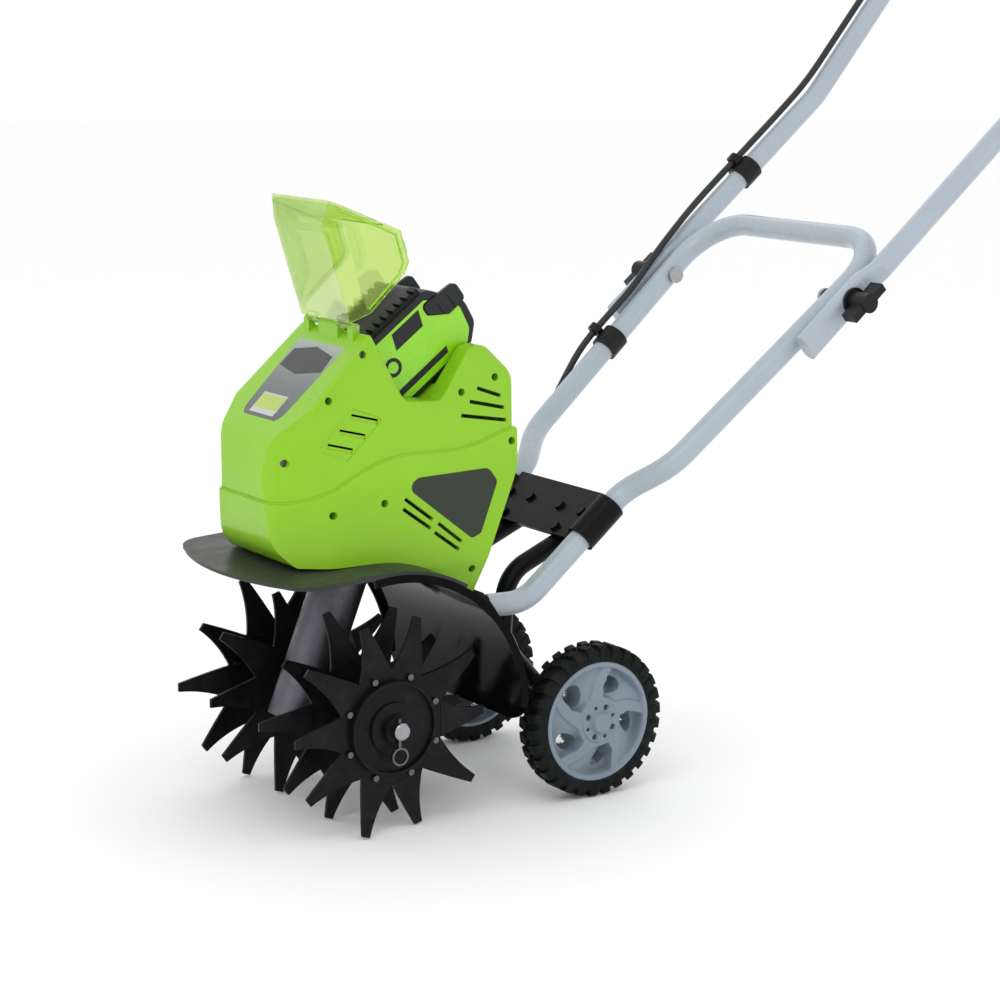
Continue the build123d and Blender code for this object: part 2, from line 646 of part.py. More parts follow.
saddle = arc_sheet(GUARD_R, 152, 138, 151, 10)
solid_tube = sweep_tube(half_path + other_half, HANDLE_BENDS, TUBE_R)
saddles = [Pos(0, sign * (FLARE_Y[0] - 7), 0) * saddle - solid_tube for sign in (1, -1)]
save("handle_saddles", saddles)

CLAMP_R = 14.6
CLAMP_U = (-30.0, 16.0)
clamps = []
clamp_holes = []
for sign in (1, -1):
    start = uvw(CLAMP_U[0], sign * FLARE_Y[0], 0)
    end = uvw(CLAMP_U[1], sign * FLARE_Y[0], 0)
    clamps.append(rod(start, end, CLAMP_R, TUBE_R))
    clamp_holes.append(rod(uvw(-60, sign * FLARE_Y[0], 0), uvw(60, sign * FLARE_Y[0], 0), CLAMP_R))
UP_HANDLE = (-cos(SLOPE), 0, sin(SLOPE))
OFF_HANDLE = (sin(SLOPE), 0, cos(SLOPE))
slit = Plane(origin=uvw(-7, 0, 0), x_dir=UP_HANDLE, z_dir=OFF_HANDLE)
for k, sign in enumerate((1, -1)):
    clamps[k] = clamps[k] - slit * Pos(0, sign * (FLARE_Y[0] + 13), 0) * Box(60, 8, 1.6)
save("tube_clamps", clamps)

BRACKET_PIVOT = (-253.0, 244.0)
PLATE_W = (2.0, 6.0)
plate_at = slit * Pos(0, 0, sum(PLATE_W) / 2)
plate = plate_at * Box(58, 2 * FLARE_Y[0] - 26, PLATE_W[1] - PLATE_W[0])
stiffener = slit * Pos(27, 0, -2) * Box(4, 2 * FLARE_Y[0] - 30, 8)
plate = plate + stiffener
LUG_Y = (57.0, 61.0)
for y0, y1 in (LUG_Y, (-LUG_Y[1], -LUG_Y[0])):
    lug = disc(*BRACKET_PIVOT, y0, y1, 11)
    lug = lug + slit * Pos(0, (y0 + y1) / 2, -7) * Box(26, y1 - y0, 20)
    plate = plate + lug
plate = plate - clamp_holes[0] - clamp_holes[1] - disc(*BRACKET_PIVOT, -80, 80, 5)
save("cross_plate", plate)

plate_bolts = []
for u, y in ((-4, 62), (-4, 26), (-28, 45)):
    for sign in (1, -1):
        low = uvw(u, sign * y, PLATE_W[1])
        high = uvw(u, sign * y, PLATE_W[1] + 3.2)
        plate_bolts.append(rod(low, high, 5.2))
save("plate_bolts", plate_bolts)

# ------------------------------------------------------------------ wheel bracket and wheels
WHEEL_AXLE = (WHEEL_X, TYRE_R)
BRACKET_LEG_Y = 45.0
BRACKET_R = 9.0
CROSS_R = 10.4             # the bracket's cross tubes, a little stouter than its legs
AXLE_R = 5.0
leg_path = [(-253, 244), (-165, 206), (-160, 140), WHEEL_AXLE]
bracket = disc(*BRACKET_PIVOT, -LUG_Y[0] + 0.4, LUG_Y[0] - 0.4, CROSS_R)
bracket = bracket + disc(*WHEEL_AXLE, -86, 86, CROSS_R)
for sign in (1, -1):
    points = [(x, sign * BRACKET_LEG_Y, z) for x, z in leg_path]
    bracket = bracket + sweep_tube(points, [38, 34], BRACKET_R)
bracket = bracket - disc(*BRACKET_PIVOT, -80, 80, AXLE_R + RUN) - disc(*WHEEL_AXLE, -100, 100, AXLE_R)
save("wheel_bracket", bracket)
pivot_pin = disc(*BRACKET_PIVOT, -LUG_Y[1] - 3, LUG_Y[1] + 3, AXLE_R)
for y0 in (LUG_Y[1], -LUG_Y[1] - 3):
    pivot_pin = pivot_pin + disc(*BRACKET_PIVOT, y0, y0 + 3, 8)
save("bracket_pin", pivot_pin)
axle = disc(*WHEEL_AXLE, -131, 131, AXLE_R)
for y0, y1 in ((127.8, 130.2), (86, 89.4)):
    for retainer in left_right(disc(*WHEEL_AXLE, y0, y1, 8.5)):
        axle = axle + retainer
save("wheel_axle", axle)

TYRE_Y = sum(WHEEL_Y) / 2
TYRE_HALF = (WHEEL_Y[1] - WHEEL_Y[0]) / 2
LUGS = 30


def wheel_at(solid, sign=1):
    return Pos(WHEEL_X, sign * TYRE_Y, TYRE_R) * solid


def tyre_band(r, half, shoulder):
    """Ring from the rim out to r, with rounded shoulders."""
    face = rounded([(RIM_R, -half, 0), (r, -half, shoulder), (r, half, shoulder), (RIM_R, half, 0)])
    return revolve(face, axis=Axis.Y)


tyre = tyre_band(TYRE_R - 3.2, TYRE_HALF - 1, 6)
tread_form = tyre_band(TYRE_R, TYRE_HALF, 5)
lugs = []
for i in range(LUGS):
    for row in (-1, 1):
        turn = (i + (0.25 if row > 0 else -0.25)) * 360 / LUGS
        block = Pos(TYRE_R - 5, row * 7.9, 0) * Rot(row * 14, 0, 0) * Box(14, 13.4, 8.2)
        lugs.append(Rot(0, turn, 0) * block)
tyre = tyre + [lug & tread_form for lug in lugs]
save("tyre_left", wheel_at(tyre))
save("tyre_right", wheel_at(mirror(tyre, Plane.XZ), -1))

RIM_HALF = TYRE_HALF - 1.5
RIM_IN = RIM_R - 6
rim_section = rounded([
    (RIM_IN, -RIM_HALF, 0), (RIM_R, -RIM_HALF, 0), (RIM_R, RIM_HALF, 0), (RIM_IN, RIM_HALF, 0),
])
rim = revolve(rim_section, axis=Axis.Y)
web_disc = Pos(0, RIM_HALF - 7, 0) * Rot(90, 0, 0) * Cylinder(RIM_R - 5, 7)
hub_boss = Pos(0, -1.4, 0) * Rot(90, 0, 0) * Cylinder(15, 2 * TYRE_HALF + 6)
window = rounded([(27, -6, 4), (45, -14, 5), (49, 3, 6), (41, 13, 5), (30, 6, 6)])
for i in range(5):
    cut = Rot(0, i * 72, 0) * extrude(Plane.XZ.offset(-30) * window, amount=60)
    web_disc = web_disc - cut
rim = rim + web_disc + hub_boss
cap = Pos(0, RIM_HALF + 1.5, 0) * Rot(90, 0, 0) * Cylinder(19, 5)
rim = rim + cap
for i in range(8):
    rim = rim - Rot(0, i * 45 + 20, 0) * Pos(13, RIM_HALF + 3, 0) * Rot(90, 0, 0) * Cylinder(1.7, 6)
rim = rim - Rot(90, 0, 0) * Cylinder(AXLE_R + RUN, 100)
save("rim_left", wheel_at(rim))
save("rim_right", wheel_at(mirror(rim, Plane.XZ), -1))

# ------------------------------------------------------------------ upper handle
FLAT_Y = 155.5
FLAT_HALF = (7.4, 14.0)        # half thickness and half height of the flattened ends
FLAT_U = (242.0, 330.0)
ROUND_U = 352.0
KNEE_U = 589.0
UPPER_SLOPE = 50.0
KNEE = uvw(KNEE_U, UPPER_Y, 0)
GRIP_R = 16.0
TOP_X = REAR_X + GRIP_R
TOP_Z = KNEE[2] + (KNEE[0] - TOP_X) * math.tan(math.radians(UPPER_SLOPE))
upper_half = [uvw(ROUND_U, UPPER_Y, 0), KNEE, (TOP_X, UPPER_Y, TOP_Z)]
upper_path = upper_half + [(x, -y, z) for x, y, z in reversed(upper_half)]
upper_handle = sweep_tube(upper_path, [90, 42, 42, 90], TUBE_R, TUBE_R - TUBE_WALL)


def across(u, y):
    """Plane square to the handle."""
    return Plane(origin=uvw(u, y, 0), x_dir=(0, 1, 0), z_dir=UP_HANDLE)


flat_section = RectangleRounded(2 * FLAT_HALF[0], 2 * FLAT_HALF[1], 7)
blade = extrude(across(FLAT_U[0], FLAT_Y) * flat_section, amount=FLAT_U[1] - FLAT_U[0])
blade = blade + loft([across(FLAT_U[1], FLAT_Y) * flat_section, across(ROUND_U, UPPER_Y) * Circle(TUBE_R)])
blade = blade - disc(FOLD[0], FOLD[2], 140, 180, PIVOT_R + RUN)
upper_handle = upper_handle + left_right(blade)
save("upper_handle", upper_handle)

leg_at_fold = leg_y(FOLD_U)
head_y = leg_at_fold - TUBE_R - 0.8     # clear of the tube, which leans a little across the bolt
bolt = disc(FOLD[0], FOLD[2], head_y, 182, PIVOT_R)
bolt = bolt + disc(FOLD[0], FOLD[2], head_y - 3.5, head_y, 8.5)
save("fold_bolts", left_right(bolt))
KNOB_Y = (FLAT_Y + FLAT_HALF[0] + 0.3, 188.0)
knob = disc(FOLD[0], FOLD[2], *KNOB_Y, 9.5)
knob = knob + disc(FOLD[0], FOLD[2], KNOB_Y[0], KNOB_Y[0] + 3, 13)
wing_at = Plane(origin=uvw(FOLD_U, 178.5, 0), x_dir=UP_HANDLE, z_dir=OFF_HANDLE)
knob = knob + wing_at * Box(46, 17, 8)
knob = knob - disc(FOLD[0], FOLD[2], 100, 184, PIVOT_R + RUN)
save("knob_left", knob)
save("knob_right", mirror(knob, Plane.XZ))

# ------------------------------------------------------------------ grip, switch box and bail lever
D2 = (-cos(UPPER_SLOPE), sin(UPPER_SLOPE))
N2 = (sin(UPPER_SLOPE), cos(UPPER_SLOPE))


def top(d, y, n):
    """Point near the crossbar: d on past it along the legs, n square to them, upward."""
    return (TOP_X + d * D2[0] + n * N2[0], y, TOP_Z + d * D2[1] + n * N2[1])


def top_plane(d, y, n):
    return Plane(origin=top(d, y, n), x_dir=(D2[0], 0, D2[1]), z_dir=(N2[0], 0, N2[1]))


GRIP_Y = (-74.0, 117.0)
CABLE_EXIT = [top(-44, -132, 15), top(-34, -108, 10)]   # into the switch box's outer side
save("foam_grip", disc(TOP_X, TOP_Z, *GRIP_Y, GRIP_R, TUBE_R))
BOX_Y = (-117.0, -78.0)
BOX_MID = sum(BOX_Y) / 2
box = top_plane(-20, BOX_MID, 6) * Box(60, BOX_Y[1] - BOX_Y[0], 40)
box = fillet(box.edges(), 6)
box = box - disc(TOP_X, TOP_Z, -130, -60, TUBE_R)
BAIL_N = 20.5
BAIL_PIVOT = top(-8, 0, BAIL_N)
box = box - disc(BAIL_PIVOT[0], BAIL_PIVOT[2], BOX_Y[1] - 8, BOX_Y[1] + 1, 4 + RUN)
button_at = top_plane(-30, BOX_MID, 26)
box = box - button_at * Cylinder(6.3, 20)
box = box - rod(*CABLE_EXIT, CABLE_R + 0.4)
upper_part = top_plane(0, BOX_MID, 50) * Box(200, 100, 100)
save("switch_box_top", box & upper_part)
save("switch_box_bottom", box - upper_part)
save("lock_button", button_at * Pos(0, 0, -1) * Cylinder(6, 10))
holder = disc(TOP_X, TOP_Z, 117.4, 121, 15.9)
holder = holder + disc(BAIL_PIVOT[0], BAIL_PIVOT[2], 117.4, 121, 8)
holder = holder - disc(TOP_X, TOP_Z, 110, 130, TUBE_R) - disc(BAIL_PIVOT[0], BAIL_PIVOT[2], 110, 130, 4 + RUN)
save("bail_bracket", holder)
bail_points = [
    top(-8, BOX_Y[1] - 7, BAIL_N), top(-8, BOX_Y[1] + 16, BAIL_N), top(-52, BOX_Y[1] + 26, BAIL_N + 6),
    top(-52, 92, BAIL_N + 6), top(-8, 100, BAIL_N), top(-8, 121, BAIL_N),
]
save("bail_lever", sweep_tube(bail_points, [8, 12, 12, 8], 4))

# ------------------------------------------------------------------ power cable and its clips
def knee(v, y, w):
    """Point v past the knee along the upper slope, w square to it."""
    return (KNEE[0] + v * D2[0] + w * N2[0], y, KNEE[2] + v * D2[1] + w * N2[1])


def cable(points):
    """Round cable whose bends are as large as the runs allow."""
    radii = []
    for before, at, after in zip(points, points[1:], points[2:]):
        run_in = Vector(*at) - Vector(*before)
        run_out = Vector(*after) - Vector(*at)
        turn = run_in.get_angle(run_out)
        radii.append(0.45 * min(run_in.length, run_out.length) / math.tan(math.radians(turn / 2)))
    print("cable bends", [round(r) for r in radii])
    path = FilletPolyline(*points, radius=radii)
    print("cable length", round(path.length))
    return sweep(Plane(origin=path @ 0, z_dir=path % 0) * Circle(CABLE_R), path=path)


LOWER_ROUTE = CABLE_ENTRY + [
    (-166, -62, 204), uvw(-72, -66, -20), uvw(-46, -84, -25), uvw(-14, -103, -21),
    uvw(22, -112, -19), uvw(56, -125, -17), uvw(96, -137, -11), uvw(146, -142.5, 2), uvw(184, -140, 15),
    uvw(228, -136, 18.6), uvw(268, -139, 17.8), uvw(312, -143.2, 17.3),
]
UPPER_ROUTE = [
    uvw(306, -154.2, 18.6), uvw(346, -158, 18.4), uvw(392, -164.5, 17.4), uvw(440, -167, 16.4),
    uvw(492, -166, 16.8), uvw(544, -167, 16.2), knee(8, -166, 16.9), knee(62, -167.2, 16.2),
    knee(120, -166, 17), knee(180, -167, 16.2),
    knee(238, -166, 17.4), knee(288, -163, 19), top(-64, -152, 20),
] + CABLE_EXIT
save("cable_lower", cable(LOWER_ROUTE))
save("cable_upper", cable(UPPER_ROUTE))


def clip(at_u, tube_ys, cable_low, cable_high):
    """Snap clip round a tube with a loop for the cable, given where both pass 11 mm below and above it."""
    tube_low = Vector(*uvw(at_u - 11, tube_ys[0], 0))
    tube_high = Vector(*uvw(at_u + 11, tube_ys[1], 0))
    low = Vector(*uvw(at_u - 11, *cable_low))
    high = Vector(*uvw(at_u + 11, *cable_high))
    body = rod(tube_low, tube_high, TUBE_R + 2.8)
    body = body + rod(low + (high - low) * 0.32, low + (high - low) * 0.68, 7.4)
    body = body - rod(tube_low - (tube_high - tube_low), tube_high + (tube_high - tube_low), TUBE_R)
    return body - rod(low - (high - low), high + (high - low), CABLE_R + 1.1)


CLIP_U = 206.0
save("cable_clip_lower", clip(
    CLIP_U, (-leg_y(CLIP_U - 11), -leg_y(CLIP_U + 11)), (-138.9, 15.9), (-137.0, 17.8),
))
save("cable_clip_upper", clip(466, (-UPPER_Y, -UPPER_Y), (-166.8, 16.5), (-166.3, 16.7)))
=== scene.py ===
import math

import bmesh
import bpy
from mathutils import Matrix, Vector


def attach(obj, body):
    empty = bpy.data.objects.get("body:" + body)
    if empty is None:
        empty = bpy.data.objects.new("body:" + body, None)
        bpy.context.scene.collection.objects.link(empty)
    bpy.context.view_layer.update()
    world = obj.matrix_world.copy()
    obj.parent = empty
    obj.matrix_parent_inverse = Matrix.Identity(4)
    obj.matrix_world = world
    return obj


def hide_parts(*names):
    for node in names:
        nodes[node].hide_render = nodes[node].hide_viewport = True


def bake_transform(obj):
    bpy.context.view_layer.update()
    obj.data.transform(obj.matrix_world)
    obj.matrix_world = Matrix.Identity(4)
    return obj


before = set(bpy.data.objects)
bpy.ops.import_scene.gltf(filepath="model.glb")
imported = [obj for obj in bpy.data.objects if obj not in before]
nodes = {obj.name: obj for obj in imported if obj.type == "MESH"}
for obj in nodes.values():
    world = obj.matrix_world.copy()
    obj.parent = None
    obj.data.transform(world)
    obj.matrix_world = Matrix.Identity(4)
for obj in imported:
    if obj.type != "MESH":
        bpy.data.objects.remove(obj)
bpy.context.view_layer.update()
scene = bpy.context.scene

# the CAD's own dimensions, in millimetres, with x = 0 at the tine shaft
PLATE = (-246, 260)                  # x and z of the cross plate, where the handle starts
SLOPE = math.radians(39.8)           # of the handle, up to its knee
KNEE_U = 589                         # from the cross plate to the knee, along the handle
UPPER_SLOPE = math.radians(50)       # of the handle beyond its knee
SHIFT_X = 0.422                      # the tine shaft's x in the shared frame, in metres


def machine(x, y, z):
    """A place given in millimetres from the tine shaft, in the shared frame's metres."""
    return Vector((x / 1000 + SHIFT_X, y / 1000, z / 1000))


def uvw(u, y, w):
    """u up the handle from the cross plate, y across, w square to the handle, in millimetres."""
    return machine(
        PLATE[0] - math.cos(SLOPE) * u + math.sin(SLOPE) * w, y,
        PLATE[1] + math.sin(SLOPE) * u + math.cos(SLOPE) * w,
    )


KNEE = uvw(KNEE_U, 0, 0)


def knee(v, y, w):
    """v past the handle's knee along its steeper part, y across, w square to it, in millimetres."""
    along = Vector((-math.cos(UPPER_SLOPE), 0, math.sin(UPPER_SLOPE))) * v / 1000
    off = Vector((math.sin(UPPER_SLOPE), 0, math.cos(UPPER_SLOPE))) * w / 1000
    return KNEE + along + off + Vector((0, y / 1000, 0))


def show(name, mesh):
    """A new object of the scene that shows the mesh."""
    obj = bpy.data.objects.new(name, mesh)
    scene.collection.objects.link(obj)
    return obj


# ------------------------------------------------------------------ camera, floor and light
CAMERA_PLACE = (1.5594, 2.0631, 0.7400)
CAMERA_LENS = 93.6
CAMERA_SENSOR = 36
CAMERA_CLIP = (0.05, 60)
CAMERA_PITCH = math.radians(10.885)     # downward
CAMERA_TURN = math.radians(32.7)        # away from the machine's side

LIGHTS_TARGET = (0.25, 0, 0.3)
# name, place, size in metres, watts, and a second size for a light that isn't square
LIGHTS = (
    ("key", (1.6, 1.2, 2.4), 1.4, 9, None),
    ("side", (-1.6, 2.2, 1.2), 1.6, 4, None),
    ("front", (2.6, 0.2, 0.9), 1.2, 3, 1.6),
    ("back", (-1.2, -2.0, 2.2), 1.6, 5, None),
)
WORLD_STRENGTH = 1.0

FLOOR_RADIUS = 14
FLOOR_SEGMENTS = 96
FLOOR_Z = -0.0006                       # just clear of the tyres and tines


def aim(obj, direction):
    """Turn a camera or light along the direction."""
    obj.rotation_euler = direction.to_track_quat("-Z", "Y").to_euler()


def camera():
    data = bpy.data.cameras.new("camera")
    data.lens = CAMERA_LENS
    data.sensor_width = CAMERA_SENSOR
    data.clip_start, data.clip_end = CAMERA_CLIP
    obj = show("camera", data)
    obj.location = CAMERA_PLACE
    level = math.cos(CAMERA_PITCH)
    look = (-math.sin(CAMERA_TURN) * level, -math.cos(CAMERA_TURN) * level, -math.sin(CAMERA_PITCH))
    aim(obj, Vector(look))
    scene.camera = obj


def area_light(name, place, size, watts, size_y):
    data = bpy.data.lights.new(name, "AREA")
    data.energy = watts
    data.size = size
    if size_y:
        data.shape = "RECTANGLE"
        data.size_y = size_y
    obj = show(name, data)
    obj.location = place
    aim(obj, Vector(LIGHTS_TARGET) - Vector(place))


def studio():
    world = bpy.data.worlds.new("studio")
    scene.world = world
    world.use_nodes = True
    back = world.node_tree.nodes["Background"]
    back.inputs["Color"].default_value = (1, 1, 1, 1)
    back.inputs["Strength"].default_value = WORLD_STRENGTH
    for light in LIGHTS:
        area_light(*light)
    scene.view_settings.view_transform = "Standard"
    scene.view_settings.look = "None"


def floor():
    mesh = bpy.data.meshes.new("floor")
    b = bmesh.new()
    bmesh.ops.create_circle(b, cap_ends=True, radius=FLOOR_RADIUS, segments=FLOOR_SEGMENTS)
    b.to_mesh(mesh)
    b.free()
    obj = show("floor", mesh)
    obj.location = (0, 0, FLOOR_Z)
    obj.data.materials.append(MATERIALS["floor"])


# ------------------------------------------------------------------ materials
# sockets of a Mix node set to RGBA, which has three sockets of the same name
MIX_FACTOR = 0
MIX_A = 6
MIX_B = 7
MIX_RESULT = 2


def links_for(material):
    tree = material.node_tree
    return tree.nodes, tree.links, tree.nodes["Principled BSDF"]


def noise(tree_nodes, links, coords, scale, detail=3.0, rough=0.55, stretch=None):
    """Noise in the piece's own coordinates, drawn out along its axes if asked."""
    tex = tree_nodes.new("ShaderNodeTexNoise")
    tex.inputs["Scale"].default_value = scale
    tex.inputs["Detail"].default_value = detail
    tex.inputs["Roughness"].default_value = rough
    source = coords.outputs["Object"]
    if stretch:
        mapping = tree_nodes.new("ShaderNodeMapping")
        mapping.inputs["Scale"].default_value = stretch
        links.new(source, mapping.inputs["Vector"])
        source = mapping.outputs["Vector"]
    links.new(source, tex.inputs["Vector"])
    return tex.outputs["Fac"]


def spread(tree_nodes, links, value, low, high, from_low=0.3, from_high=0.7):
    """The value's middle range stretched to run from low to high."""
    ranged = tree_nodes.new("ShaderNodeMapRange")
    ranged.inputs["From Min"].default_value = from_low
    ranged.inputs["From Max"].default_value = from_high
    ranged.inputs["To Min"].default_value = low
    ranged.inputs["To Max"].default_value = high
    links.new(value, ranged.inputs["Value"])
    return ranged.outputs["Result"]


def colour_mix(tree_nodes):
    mix = tree_nodes.new("ShaderNodeMix")
    mix.data_type = "RGBA"
    return mix


def finish_of(name, colour, rough, metal=0.0, vary=0.08, patch=18.0, rough_vary=0.06, stretch=None,
              grain=0.0, grain_scale=900.0, grain_depth=0.0002, coat=0.0, coat_rough=0.08,
              dust=None, dust_amount=0.0, ior=1.5):
    """A procedural surface: two tones in soft patches, uneven gloss, a fine grain, and dust if asked."""
    material = bpy.data.materials.new(name)
    material.use_nodes = True
    n, links, shader = links_for(material)
    coords = n.new("ShaderNodeTexCoord")
    patches = noise(n, links, coords, patch, 4.0)
    mix = colour_mix(n)
    mix.inputs[MIX_A].default_value = (*[c * (1 - vary) for c in colour], 1)
    mix.inputs[MIX_B].default_value = (*[min(1.0, c * (1 + vary)) for c in colour], 1)
    links.new(spread(n, links, patches, 0, 1), mix.inputs[MIX_FACTOR])
    result = mix.outputs[MIX_RESULT]
    if dust:
        flecks = noise(n, links, coords, 60.0, 8.0, 0.7)
        over = colour_mix(n)
        over.inputs[MIX_B].default_value = (*dust, 1)
        links.new(result, over.inputs[MIX_A])
        links.new(spread(n, links, flecks, 0, dust_amount, 0.5, 0.78), over.inputs[MIX_FACTOR])
        result = over.outputs[MIX_RESULT]
    links.new(result, shader.inputs["Base Color"])
    smears = noise(n, links, coords, patch * 3.1, 5.0, 0.6, stretch)
    links.new(spread(n, links, smears, rough - rough_vary, rough + rough_vary), shader.inputs["Roughness"])
    shader.inputs["Metallic"].default_value = metal
    shader.inputs["IOR"].default_value = ior
    if coat:
        shader.inputs["Coat Weight"].default_value = coat
        shader.inputs["Coat Roughness"].default_value = coat_rough
    if grain:
        fine = noise(n, links, coords, grain_scale, 2.0, 0.5, stretch)
        bump = n.new("ShaderNodeBump")
        bump.inputs["Strength"].default_value = grain
        bump.inputs["Distance"].default_value = grain_depth
        links.new(fine, bump.inputs["Height"])
        links.new(bump.outputs["Normal"], shader.inputs["Normal"])
    return material


def clear_lime():
    """Tinted clear plastic of the lid."""
    material = finish_of("lid_clear", (0.46, 0.72, 0.05), 0.08, vary=0.05, rough_vary=0.03, grain=0.03,
                         grain_scale=300.0, ior=1.4)
    shader = material.node_tree.nodes["Principled BSDF"]
    shader.inputs["Transmission Weight"].default_value = 0.85
    shader.inputs["Alpha"].default_value = 0.66
    return material


BADGE_HEIGHTS = (0.3715, 0.434)      # lower and upper end of the front badge, in metres
# share of the way up the badge, and the colour there
BADGE_FADE = (
    (0.0, (0.045, 0.05, 0.05)), (0.45, (0.10, 0.115, 0.115)),
    (0.8, (0.20, 0.24, 0.22)), (1.0, (0.33, 0.38, 0.33)),
)


def gradient_badge():
    """Front trim panel: silver-grey at its top, darkening downward."""
    material = finish_of("badge_fade", BADGE_FADE[0][1], 0.28, coat=0.4)
    n, links, shader = links_for(material)
    coords = n.new("ShaderNodeTexCoord")
    split = n.new("ShaderNodeSeparateXYZ")
    links.new(coords.outputs["Object"], split.inputs["Vector"])
    fade = n.new("ShaderNodeValToRGB")
    stops = fade.color_ramp.elements
    while len(stops) < len(BADGE_FADE):
        stops.new(1.0)
    for stop, (place, colour) in zip(stops, BADGE_FADE):
        stop.position = place
        stop.color = (*colour, 1)
    links.new(spread(n, links, split.outputs["Z"], 0, 1, *BADGE_HEIGHTS), fade.inputs["Fac"])
    links.new(fade.outputs["Color"], shader.inputs["Base Color"])
    return material


MATERIALS = {
    "floor": finish_of("floor_pale", (0.985, 0.985, 0.985), 0.8, vary=0.003, rough_vary=0.05),
    "lime": finish_of("lime_plastic", (0.245, 0.525, 0.012), 0.30, vary=0.05, patch=9.0, rough_vary=0.05,
                      grain=0.10, grain_scale=1500.0, coat=0.08, coat_rough=0.12, ior=1.38),
    "lime_battery": finish_of("lime_battery", (0.27, 0.66, 0.010), 0.26, vary=0.04, coat=0.35, grain=0.05),
    "badge": gradient_badge(),
    "dark_badge": finish_of("dark_badge", (0.016, 0.026, 0.012), 0.28, vary=0.12, grain=0.04, ior=1.45),
    "lid": clear_lime(),
    "tube": finish_of("tube_powder", (0.37, 0.43, 0.49), 0.27, vary=0.035, patch=14.0, grain=0.16,
                      grain_scale=1100.0, coat=0.2, coat_rough=0.16),
    "black_paint": finish_of("black_paint", (0.005, 0.005, 0.006), 0.32, vary=0.2, rough_vary=0.08,
                             grain=0.22, grain_scale=900.0, ior=1.2),
    "tine": finish_of("tine_paint", (0.006, 0.006, 0.007), 0.36, vary=0.3, patch=40.0, rough_vary=0.12,
                      grain=0.3, grain_scale=420.0, dust=(0.04, 0.037, 0.034), dust_amount=0.3, ior=1.22),
    "fender": finish_of("fender_gloss", (0.003, 0.003, 0.0035), 0.10, vary=0.2, rough_vary=0.04, grain=0.02,
                        grain_scale=160.0, ior=1.14),
    "guard": finish_of("guard_satin", (0.030, 0.034, 0.030), 0.40, vary=0.16, rough_vary=0.08, grain=0.30,
                       grain_scale=1200.0, ior=1.3),
    "black_plastic": finish_of("black_plastic", (0.009, 0.009, 0.010), 0.42, vary=0.15, rough_vary=0.08,
                               grain=0.35, grain_scale=1600.0, ior=1.28),
    "charcoal": finish_of("charcoal_plastic", (0.022, 0.023, 0.026), 0.44, vary=0.12, grain=0.35,
                          grain_scale=1700.0, ior=1.3),
    "foam": finish_of("foam", (0.016, 0.016, 0.017), 0.85, vary=0.25, patch=90.0, grain=0.9,
                      grain_scale=700.0, grain_depth=0.0006),
    "rubber": finish_of("tyre_rubber", (0.006, 0.007, 0.007), 0.60, vary=0.22, patch=30.0, rough_vary=0.1,
                        grain=0.4, grain_scale=700.0, dust=(0.05, 0.048, 0.045), dust_amount=0.2, ior=1.22),
    "rim": finish_of("rim_plastic", (0.185, 0.235, 0.285), 0.38, vary=0.05, grain=0.18, grain_scale=1300.0),
    "zinc": finish_of("zinc", (0.36, 0.36, 0.35), 0.32, metal=1.0, vary=0.12, patch=120.0, rough_vary=0.1,
                      grain=0.1),
    "dark_zinc": finish_of("dark_zinc", (0.13, 0.13, 0.135), 0.34, metal=1.0, vary=0.12, patch=120.0,
                           rough_vary=0.1, grain=0.1),
    "steel": finish_of("bright_steel", (0.32, 0.32, 0.35), 0.20, metal=1.0, vary=0.08, patch=80.0,
                       rough_vary=0.07, grain=0.12, grain_scale=600.0, stretch=(8, 1, 8)),
    "cast": finish_of("cast_alloy", (0.115, 0.112, 0.13), 0.42, metal=0.85, vary=0.18, patch=30.0,
                      rough_vary=0.1, grain=0.5, grain_scale=500.0, grain_depth=0.0004,
                      dust=(0.08, 0.075, 0.07), dust_amount=0.3),
    "bronze": finish_of("bronze", (0.52, 0.34, 0.14), 0.3, metal=1.0, vary=0.1),
    "nylon": finish_of("nylon", (0.66, 0.65, 0.60), 0.5, vary=0.05),
    "laminations": finish_of("laminations", (0.16, 0.13, 0.11), 0.5, metal=0.6, vary=0.3, patch=200.0,
                             grain=0.5, grain_scale=300.0, stretch=(1, 1, 12)),
    "red": finish_of("red_plastic", (0.45, 0.012, 0.008), 0.3, vary=0.08, coat=0.3),
    "red_rod": finish_of("red_coating", (0.30, 0.012, 0.010), 0.34, vary=0.1, grain=0.2, coat=0.3),
    "lid_rim": finish_of("lid_rim", (0.30, 0.60, 0.02), 0.2, vary=0.06, grain=0.04, ior=1.4),
    "plaque_dark": finish_of("plaque_dark", (0.018, 0.021, 0.020), 0.3, vary=0.12, grain=0.05),
    "plaque_pale": finish_of("plaque_pale", (0.50, 0.53, 0.50), 0.35, vary=0.05, grain=0.05),
    "plaque_lime": finish_of("plaque_lime", (0.42, 0.55, 0.10), 0.35, vary=0.08, grain=0.05),
    "cable": finish_of("cable_sheath", (0.010, 0.010, 0.011), 0.48, vary=0.2, grain=0.25, grain_scale=900.0),
}

